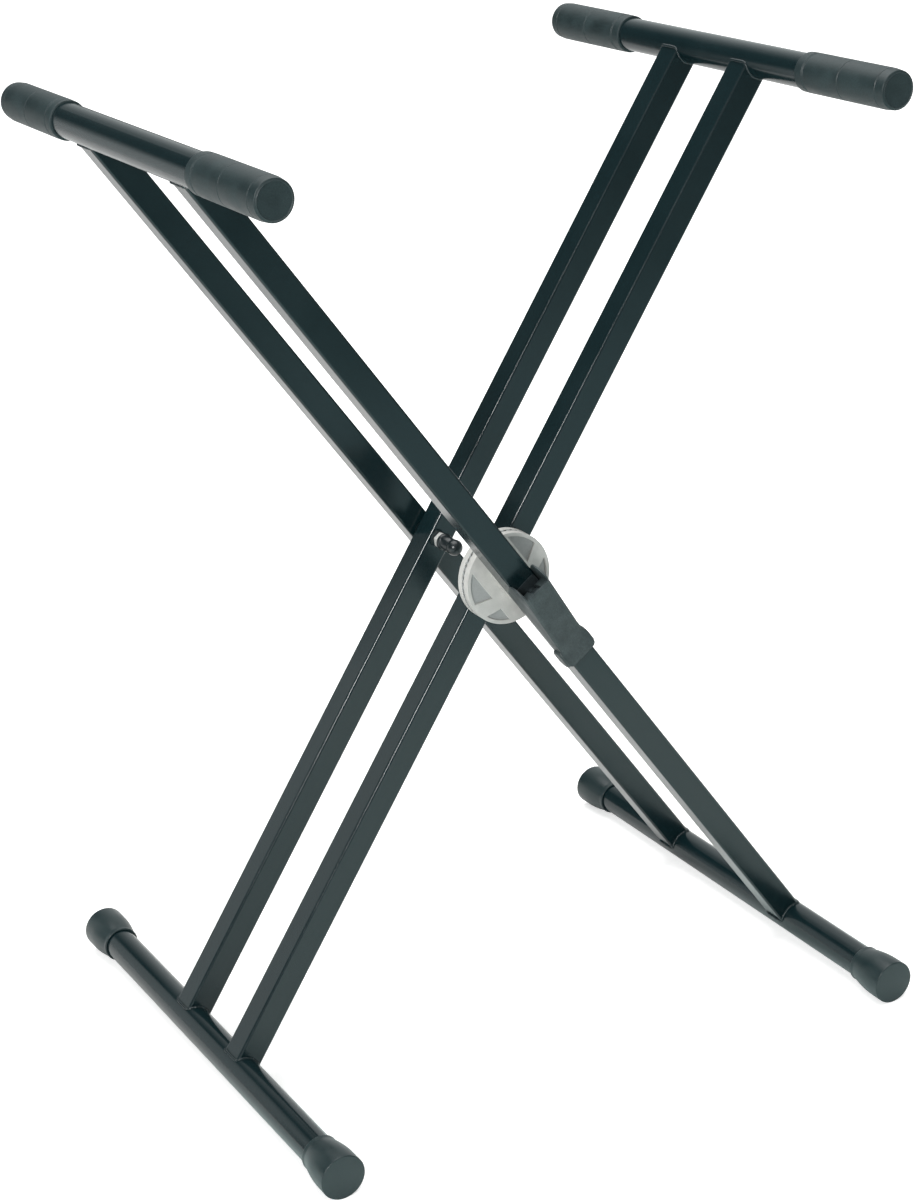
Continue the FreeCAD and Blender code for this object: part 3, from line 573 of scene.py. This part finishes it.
tooth_tree, given = geometry_tree("ring of teeth", (
    ("Count", "NodeSocketInt"), ("Start", "NodeSocketFloat"), ("Material", "NodeSocketMaterial")))
spots = add_node(tooth_tree, "GeometryNodePoints", {"Count": given["Count"]})
number = add_node(tooth_tree, "GeometryNodeInputIndex")
pitch = add_node(tooth_tree, "ShaderNodeMath", {0: 2 * pi, 1: given["Count"]}, operation="DIVIDE")
turn = add_node(tooth_tree, "ShaderNodeMath",
                {0: number.outputs[0], 1: pitch.outputs[0], 2: given["Start"]}, operation="MULTIPLY_ADD")
about = add_node(tooth_tree, "ShaderNodeCombineXYZ", {"Y": turn.outputs[0]})
ring = add_node(tooth_tree, "GeometryNodeInstanceOnPoints", {
    "Points": spots.outputs[0], "Instance": given["Geometry"], "Rotation": about.outputs[0]})
solid = add_node(tooth_tree, "GeometryNodeRealizeInstances", {0: ring.outputs[0]})
cast = add_node(tooth_tree, "GeometryNodeSetMaterial",
                {"Geometry": solid.outputs[0], "Material": given["Material"]})
add_node(tooth_tree, "NodeGroupOutput", {0: cast.outputs[0]})


def join(name, pieces):
    """Several meshes as one object."""
    mesh = bmesh.new()
    for part in pieces:
        mesh.from_mesh(part)
    bmesh.ops.recalc_face_normals(mesh, faces=mesh.faces)
    whole = bpy.data.meshes.new(name)
    mesh.to_mesh(whole)
    mesh.free()
    piece = bpy.data.objects.new(name, whole)
    bpy.context.scene.collection.objects.link(piece)
    return piece


def circle(radius, sides=DISC_SIDES):
    turns = [2 * pi * k / sides for k in range(sides)]
    return [(radius * cos(turn), radius * sin(turn)) for turn in turns]


def obround(width, length):
    """Outline of a slot-shaped saddle, long side along the leg."""
    r = width / 2
    flat = length / 2 - r
    ends = []
    for sign in (1, -1):
        for k in range(DISC_SADDLE_END_STEPS + 1):
            turn = pi * k / DISC_SADDLE_END_STEPS + (0 if sign > 0 else pi)
            ends.append((r * cos(turn), r * sin(turn) + sign * flat))
    return ends


for frame_name, facing in (("outer", -1), ("inner", 1)):
    node = frame_name + "_toothed_disc"
    middle, along, across, _ = leg_axes(frame_name, "front_leg")
    low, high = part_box(node)
    leg_low, leg_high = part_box(frame_name + "_front_leg")
    radius = radius_of(node) / MM
    # the face that carries the fields looks towards the disc's own leg
    saddle = DISC_SADDLE if frame_name == "outer" else 0.0
    leg_side = leg_high.y if facing < 0 else leg_low.y
    face = leg_side - facing * saddle * MM
    tips = high.y if facing < 0 else low.y
    thick = abs(tips - face) / MM - DISC_TOOTH_HEIGHT
    origin = Vector((middle.x, face, middle.z))
    # local axes: X across the leg, Y along the leg, Z into the disc from its field side
    into = Vector((0, -facing, 0))
    local = Matrix((across, along, into)).transposed().to_4x4()
    local = Matrix.Translation(origin) @ local
    fields = [field_outline(side, above, radius) for side in (-1, 1) for above in (True, False)]
    front = plate("front", [circle(radius)] + fields, DISC_POCKET_DEPTH, DISC_EDGE_ROUND,
                  local @ Matrix.Translation((0, 0, DISC_POCKET_DEPTH / 2 * MM)))
    rest = thick - DISC_POCKET_DEPTH + DISC_EDGE_ROUND
    back = plate("back", [circle(radius), circle(DISC_BORE, DISC_BORE_SIDES)], rest, DISC_BACK_ROUND,
                 local @ Matrix.Translation((0, 0, (thick - rest / 2) * MM)))
    # the back plate's nearer side is the floor of the fields, and gets the darker painted shade
    for part_face in back.polygons:
        depth = (part_face.center - origin).dot(into) / MM
        part_face.material_index = 1 if depth < thick - rest + FIELD_FLOOR_SLACK else 0
    parts = [front, back]
    if saddle:
        width = (leg_high.y - leg_low.y) / MM - 2 * DISC_SADDLE_MARGIN
        parts.append(plate("saddle", [obround(width, DISC_SADDLE_LENGTH)],
                           saddle + DISC_SADDLE_ROOT, DISC_SADDLE_ROUND,
                           local @ Matrix.Translation((0, 0, (DISC_SADDLE_ROOT - saddle) / 2 * MM))))
    # one tooth, seated on the plane of its root, its length along the radius
    rim = radius - DISC_TOOTH_MARGIN
    corners = []
    for r in (DISC_TOOTH_INNER, rim):
        for sign, height in ((-1, -DISC_TOOTH_ROOT), (1, -DISC_TOOTH_ROOT),
                             (1, DISC_TOOTH_HEIGHT), (-1, DISC_TOOTH_HEIGHT)):
            share = DISC_ROOT_SHARE if height < 0 else DISC_TIP_SHARE
            corners.append(Vector((sign * r * tan(share * pi / DISC_TOOTH_COUNT), height, r)) * MM)
    tooth = mesh_object("tooth", corners, [], [
        (0, 1, 2, 3), (7, 6, 5, 4), (0, 4, 5, 1), (1, 5, 6, 2), (2, 6, 7, 3), (3, 7, 4, 0)])
    grow(tooth, tooth_tree, {"Count": DISC_TOOTH_COUNT, "Start": pi / DISC_TOOTH_COUNT,
                             "Material": cast_lacquer})
    upright = Matrix((across, into, along)).transposed().to_4x4()
    tooth.data.transform(Matrix.Translation(origin + into * thick * MM) @ upright)
    parts.append(tooth.data)
    disc = join("cast_" + node, parts)
    bpy.data.objects.remove(tooth)
    disc.data.materials.append(cast_lacquer)
    disc.data.materials.append(field_floor_shade)
    smooth_by_angle(disc, DISC_SHARP)
    finish(disc, cast_lacquer, frame_name + "_frame", "cast_disc", node)

# ---------------------------------------------------------------- release spring
# A short compression spring of round wire between the discs, hidden in their bores. It parts the
# teeth when the clamp is let go. Oiled spring steel, dark grey with a soft sheen.
SPRING_GREY = "#6E7072"
SPRING_DARK = "#4C4E50"
SPRING_SCALE = (1.5, 4.0)
SPRING_METALLIC = 1.0
SPRING_ROUGHNESS = 0.32
SPRING_TURNS = 3.0
SPRING_WIRE = 1.6
SPRING_POINTS_PER_TURN = 40
WIRE_SIDES = 14
WIRE_SHARP = 50.0                  # in degrees

spring_steel, tree = new_material("oiled spring steel")
surface(tree, {
    "Base Color": blend(tree, noise(tree, *SPRING_SCALE), SPRING_DARK, SPRING_GREY),
    "Metallic": SPRING_METALLIC, "Roughness": SPRING_ROUGHNESS})

coil_tree, given = geometry_tree("coil", (
    ("Turns", "NodeSocketFloat"), ("Radius", "NodeSocketFloat"), ("Height", "NodeSocketFloat"),
    ("Wire", "NodeSocketFloat"), ("Points", "NodeSocketInt"), ("Material", "NodeSocketMaterial")))
helix = add_node(coil_tree, "GeometryNodeCurveSpiral", {
    "Resolution": given["Points"], "Rotations": given["Turns"], "Start Radius": given["Radius"],
    "End Radius": given["Radius"], "Height": given["Height"]})
half_wire = add_node(coil_tree, "ShaderNodeMath", {0: given["Wire"], 1: 0.5}, operation="MULTIPLY")
section = add_node(coil_tree, "GeometryNodeCurvePrimitiveCircle",
                   {"Resolution": WIRE_SIDES, "Radius": half_wire.outputs[0]})
wire = add_node(coil_tree, "GeometryNodeCurveToMesh", {
    "Curve": helix.outputs[0], "Profile Curve": section.outputs[0], "Fill Caps": True})
solid = add_node(coil_tree, "GeometryNodeRealizeInstances", {0: wire.outputs[0]})
steel = add_node(coil_tree, "GeometryNodeSetMaterial",
                 {"Geometry": solid.outputs[0], "Material": given["Material"]})
add_node(coil_tree, "NodeGroupOutput", {0: steel.outputs[0]})


def coil(name, low_y, high_y, radius, wire, turns, material):
    """Round wire wound about the fold axis from low_y to high_y, both in metres."""
    piece = mesh_object(name, [Vector((0, 0, 0))], [], [])
    grow(piece, coil_tree, {
        "Turns": turns, "Radius": radius * MM, "Height": high_y - low_y, "Wire": wire * MM,
        "Points": SPRING_POINTS_PER_TURN, "Material": material})
    onto_y = Matrix.Rotation(-pi / 2, 4, "X")
    pivot = centre_of("rear_leg_spacer")
    piece.data.transform(Matrix.Translation((pivot.x, low_y, pivot.z)) @ onto_y)
    mesh = bmesh.new()
    mesh.from_mesh(piece.data)
    bmesh.ops.recalc_face_normals(mesh, faces=mesh.faces)
    mesh.to_mesh(piece.data)
    mesh.free()
    smooth_by_angle(piece, WIRE_SHARP)
    return piece


low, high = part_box("release_spring")
mean = radius_of("release_spring") / MM - SPRING_WIRE / 2
half = SPRING_WIRE / 2 * MM
spring = coil("wound_release_spring", low.y + half, high.y - half, mean,
              SPRING_WIRE, SPRING_TURNS, spring_steel)
finish(spring, spring_steel, "outer_frame", "spring_steel", "release_spring")

# ---------------------------------------------------------------- bolts, nuts and washers
# The rear pivot's bolt, and all nuts and washers, are bright zinc plated. The clamp's draw bolt, its pin
# and its cam pad are blackened steel. The draw bolt runs through both front legs, with a flat-sided eye
# in the lever and a rolled thread at its other end.
ZINC_LIGHT = "#F0F0EC"
ZINC_DARK = "#D6D8D5"
ZINC_SPANGLE = (2.2, 5.0)
ZINC_METALLIC = 0.4
ZINC_ROUGHNESS = (0.24, 0.4)
OXIDE_BLACK = "#2B3335"
OXIDE_BLUE = "#465053"
OXIDE_BLOOM = (1.8, 4.0)
OXIDE_METALLIC = 0.6
OXIDE_ROUGHNESS = 0.42
METAL_BUMP = (0.1, 0.05)
THREAD_PITCH = 1.25
THREAD_WIRE = 0.6
THREAD_LENGTH = 1.7
THREAD_RADIUS = 3.78

zinc_plate, tree = new_material("bright zinc plating")
spangle = noise(tree, *ZINC_SPANGLE)
surface(tree, {
    "Base Color": blend(tree, spangle, ZINC_DARK, ZINC_LIGHT), "Metallic": ZINC_METALLIC,
    "Roughness": rescaled(tree, spangle, NOISE_RANGE, ZINC_ROUGHNESS),
    "Normal": bumps(tree, spangle, *METAL_BUMP)})

black_oxide, tree = new_material("black-oxide steel")
bloom = noise(tree, *OXIDE_BLOOM)
surface(tree, {
    "Base Color": blend(tree, bloom, OXIDE_BLACK, OXIDE_BLUE), "Metallic": OXIDE_METALLIC,
    "Roughness": OXIDE_ROUGHNESS, "Normal": bumps(tree, bloom, *METAL_BUMP)})

for node in ("clamp_washer", "clamp_nut", "rear_pivot_bolt", "rear_head_washer", "rear_pivot_nut"):
    paint_node(node, zinc_plate)
for node in ("clamp_eye_bolt", "cam_pad", "lever_pin"):
    paint_node(node, black_oxide)

low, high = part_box("clamp_eye_bolt")
thread = coil("clamp_bolt_thread", high.y - THREAD_LENGTH * MM, high.y - THREAD_WIRE / 2 * MM,
              THREAD_RADIUS, THREAD_WIRE, THREAD_LENGTH / THREAD_PITCH, black_oxide)
finish(thread, black_oxide, "clamp_bolt", "zinc")

# ---------------------------------------------------------------- clamp lever
# A channel-shaped cam lever that lies over the leg, moulded in dark glass-filled nylon. Its surface is
# matte and slightly mottled, lighter where the glass comes to the skin, with softened edges.
LEVER_DARK = "#1F292B"
LEVER_LIGHT = "#3A4546"
LEVER_GRAIN = (1.3, 5.0, 0.65)     # coarser than the real grain, so that it shows
LEVER_FLOW = (16.0, 3.0)
LEVER_MOTTLE = (0.12, 0.4)
LEVER_BUMP = (0.3, 0.1)
LEVER_ROUGHNESS = 0.52
LEVER_IOR = 1.53
LEVER_EDGE = 0.45
LEVER_EDGE_STEPS = 2
LEVER_EDGE_ANGLE = 30.0            # edges that turn by more than this many degrees are rounded
LEVER_SHARP = 40.0                 # in degrees
COPY_WELD = 0.002
COPY_FLAT = 1.0                    # in degrees

filled_nylon, tree = new_material("glass-filled nylon, matte")
grain = noise(tree, *LEVER_GRAIN)
flow = noise(tree, *LEVER_FLOW)
surface(tree, {
    "Base Color": mottled(tree, grain, flow, LEVER_MOTTLE, LEVER_DARK, LEVER_LIGHT),
    "Roughness": LEVER_ROUGHNESS, "Normal": bumps(tree, grain, *LEVER_BUMP), "IOR": LEVER_IOR})


def softened_copy(name, node, width):
    """A welded copy of a part's mesh with its flat faces whole again and its edges rounded."""
    piece = bpy.data.objects.new(name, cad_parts[node].data.copy())
    bpy.context.scene.collection.objects.link(piece)
    piece.data.materials.clear()
    mesh = bmesh.new()
    mesh.from_mesh(piece.data)
    bmesh.ops.remove_doubles(mesh, verts=mesh.verts, dist=COPY_WELD * MM)
    bmesh.ops.dissolve_limit(mesh, angle_limit=radians(COPY_FLAT), verts=mesh.verts, edges=mesh.edges)
    sharp = [e for e in mesh.edges
             if e.calc_face_angle(0.0) > radians(LEVER_EDGE_ANGLE) and e.calc_length() > 2 * width * MM]
    bmesh.ops.bevel(mesh, geom=sharp, offset=width * MM, segments=LEVER_EDGE_STEPS, profile=0.5,
                    affect="EDGES", clamp_overlap=True)
    mesh.to_mesh(piece.data)
    mesh.free()
    smooth_by_angle(piece, LEVER_SHARP)
    return piece


lever = softened_copy("moulded_clamp_lever", "clamp_lever", LEVER_EDGE)
finish(lever, filled_nylon, "clamp_lever", "lever_plastic", "clamp_lever")

# ---------------------------------------------------------------- rear pivot cap and spacer
# A soft black vinyl cap with a domed end is pushed over the free end of the rear pivot bolt, and a
# thin black nylon washer keeps the two painted rear legs apart.
CAP_BLACK = "#101719"
CAP_LIGHT = "#1B2426"
CAP_RIPPLE = (5.0, 2.0)
CAP_BUMP = (0.15, 0.2)
CAP_ROUGHNESS = 0.28
CAP_IOR = 1.5
CAP_FLANGE_LENGTH = 2.2
CAP_FLANGE_ROUND = 0.4
CAP_NECK_START = 2.9
CAP_NECK_STEP = 0.7                # the neck is this much smaller in radius than the ball
CAP_DOME_STEPS = 16
CAP_DOME_FIRST = 3                 # the dome's steps before this one lie inside the neck
CAP_SIDES = 48

soft_vinyl, tree = new_material("soft black vinyl")
ripple = noise(tree, *CAP_RIPPLE)
surface(tree, {
    "Base Color": blend(tree, ripple, CAP_BLACK, CAP_LIGHT), "Roughness": CAP_ROUGHNESS,
    "Normal": bumps(tree, ripple, *CAP_BUMP), "IOR": CAP_IOR})
paint_node("rear_leg_spacer", soft_vinyl)

low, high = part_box("rear_bolt_cap")
radius = radius_of("rear_bolt_cap") / MM
length = (high.y - low.y) / MM
neck = radius - CAP_NECK_STEP
outline = [(0.0, 0.0), (0.0, radius), (CAP_FLANGE_LENGTH, radius), (CAP_NECK_START, neck),
           (length - 2 * radius, neck)]
ball = [(length - radius - radius * cos(pi * k / CAP_DOME_STEPS), radius * sin(pi * k / CAP_DOME_STEPS))
        for k in range(1, CAP_DOME_STEPS + 1)]
outline = [p for p in outline if p[0] < ball[CAP_DOME_FIRST - 1][0]] + ball[CAP_DOME_FIRST:]
start = centre_of("rear_bolt_cap")
start.y = high.y
cap = lathe("vinyl_rear_bolt_cap", rounded(outline, {1: CAP_FLANGE_ROUND}), start, -1, CAP_SIDES)
finish(cap, soft_vinyl, "outer_frame", "cap_plastic", "rear_bolt_cap")

# ---------------------------------------------------------------- floor and light
# A plain pale floor that runs on past the picture, a large soft light overhead and a smaller one at the
# front left. The glossy paint mirrors the rest of the studio: two white cards behind the stand and a
# dark one, which only reflections see, and the floor, which reflections see in painted light that
# darkens and turns blue-green towards the front.
FLOOR_WHITE = "#EEEFEE"
FLOOR_SIZE = 40.0
FLOOR_ROUGHNESS = 0.65
FLOOR_SPECULAR = 0.2
# the floor's colour as the paint mirrors it, painted light that darkens towards the front, by distance to
# the back in metres
FLOOR_MIRRORED = (
    (-2.6, "#677171"), (-2.1, "#798F8F"), (-1.7, "#ACC6CA"), (-1.0, "#ABC7CA"), (-0.75, "#EBFFFD"),
    (-0.1, "#EFFFFD"), (0.05, "#F1F3F1"), (0.9, "#EFEFED"), (1.3, "#DDDEDD"))
FLOOR_FILL = (0.5, 1.0)            # how much the floor itself shines, near the stand and far off
FLOOR_FILL_REACH = (0.7, 2.2)      # in metres from the stand
PURE_WHITE = "#FFFFFF"
CARD_WHITE = "#F2F8F8"
ROOM_FILL = 0.5                    # what matt surfaces receive
ROOM_BACK, ROOM_FRONT = 0.06, 0.35    # what glossy ones mirror
ROOM_TURNOVER = (0.2, -0.4)        # Y of the directions where the back ends and the front begins


def stage_sheet(name, corners, material):
    sheet = mesh_object(name, [Vector(corner) for corner in corners], [], [(0, 1, 2, 3)])
    sheet.data.materials.append(material)
    return sheet


floor_paper, tree = new_material("pale studio floor")
place = add_node(tree, "ShaderNodeTexCoord").outputs["Object"]
ray = add_node(tree, "ShaderNodeLightPath").outputs
away = add_node(tree, "ShaderNodeVectorMath", {0: place}, operation="LENGTH").outputs["Value"]
fill = rescaled(tree, away, FLOOR_FILL_REACH, FLOOR_FILL)
nearest, farthest = FLOOR_MIRRORED[0][0], FLOOR_MIRRORED[-1][0]
to_back = add_node(tree, "ShaderNodeSeparateXYZ", {0: place}).outputs["Y"]
# painted light: the ramp gives the floor the colours that reflections see, darker and blue-green towards
# the front
ramp = add_node(tree, "ShaderNodeValToRGB", {0: rescaled(tree, to_back, (nearest, farthest))})
for spot, _ in FLOOR_MIRRORED[1:-1]:
    ramp.color_ramp.elements.new((spot - nearest) / (farthest - nearest))
for element, (_, colour) in zip(ramp.color_ramp.elements, FLOOR_MIRRORED):
    element.color = linear(colour)
mirrored = ray["Is Glossy Ray"]
# the camera sees the whole fill, and glossy paint mirrors only what the fill gains far off
seen = math_node(tree, "MAXIMUM", ray["Is Camera Ray"], ray["Is Transmission Ray"])
beyond = math_node(tree, "MULTIPLY", math_node(tree, "SUBTRACT", fill, FLOOR_FILL[0]), mirrored)
shine = add_node(tree, "ShaderNodeMath", {0: fill, 1: seen, 2: beyond}, operation="MULTIPLY_ADD")
surface(tree, {
    "Base Color": blend(tree, mirrored, FLOOR_WHITE, ramp.outputs[0]), "Roughness": FLOOR_ROUGHNESS,
    "Specular IOR Level": FLOOR_SPECULAR,
    "Emission Color": blend(tree, mirrored, PURE_WHITE, ramp.outputs[0]),
    "Emission Strength": shine.outputs[0]})
half = FLOOR_SIZE / 2
stage_sheet("studio_floor", ((-half, -half, 0), (half, -half, 0), (half, half, 0), (-half, half, 0)),
            floor_paper)


def reflecting_card(name, x, y, z, strength, axis, fade):
    """An upright card that fades to the room's level along one axis and that only reflections see."""
    material, tree = new_material(name)
    place = add_node(tree, "ShaderNodeTexCoord").outputs["Object"]
    along = add_node(tree, "ShaderNodeSeparateXYZ", {0: place}).outputs[axis]
    level = rescaled(tree, along, fade, (ROOM_BACK, strength))
    light = add_node(tree, "ShaderNodeEmission", {0: linear(CARD_WHITE), 1: level})
    add_node(tree, "ShaderNodeOutputMaterial", {"Surface": light.outputs[0]})
    corners = ((x[0], y, z[0]), (x[1], y, z[0]), (x[1], y, z[1]), (x[0], y, z[1]))
    card = stage_sheet(name, corners, material)
    card.visible_camera = card.visible_diffuse = card.visible_shadow = False


reflecting_card("rear_right_card", x=(-0.8, 6.0), y=2.8, z=(0, 3.8),
                strength=0.95, axis="X", fade=(-0.8, 1.4))
reflecting_card("low_left_card", x=(-1.3, -0.6), y=1.0, z=(0, 1.06),
                strength=0.88, axis="Z", fade=(1.06, 0.8))
reflecting_card("dark_flag", x=(-0.15, 0.1), y=0.5, z=(0.56, 0.88),
                strength=0.2, axis="Z", fade=(0.9, 0.6))

world = bpy.data.worlds.new("studio room")
bpy.context.scene.world = world
world.use_nodes = True
tree = world.node_tree
tree.nodes.clear()
way = add_node(tree, "ShaderNodeTexCoord").outputs["Generated"]
to_back = add_node(tree, "ShaderNodeSeparateXYZ", {0: way}).outputs["Y"]
room_side = rescaled(tree, to_back, ROOM_TURNOVER, (ROOM_BACK, ROOM_FRONT))
ray = add_node(tree, "ShaderNodeLightPath").outputs
strength = add_node(tree, "ShaderNodeMix", {0: ray["Is Glossy Ray"], 2: ROOM_FILL, 3: room_side}).outputs[0]
strength = math_node(tree, "MAXIMUM", strength, ray["Is Camera Ray"])
room = add_node(tree, "ShaderNodeBackground", {"Color": linear(PURE_WHITE), "Strength": strength})
add_node(tree, "ShaderNodeOutputWorld", {"Surface": room.outputs[0]})


def softbox(name, place, aim, side, power):
    light = bpy.data.lights.new(name, "AREA")
    light.shape = "RECTANGLE"
    light.size = light.size_y = side
    light.energy = power
    lamp = bpy.data.objects.new(name, light)
    lamp.location = place
    lamp.rotation_euler = (Vector(aim) - Vector(place)).to_track_quat("-Z", "Y").to_euler()
    bpy.context.scene.collection.objects.link(lamp)


softbox("overhead softbox", place=(0.1, 0.5, 2.8), aim=(0.1, 0.5, 0.0), side=2.4, power=62.0)
softbox("front left softbox", place=(-2.8, -2.3, 2.1), aim=(0.0, 0.0, 0.45), side=0.9, power=100.0)

# ---------------------------------------------------------------- last steps
bpy.context.scene.view_settings.view_transform = "Standard"
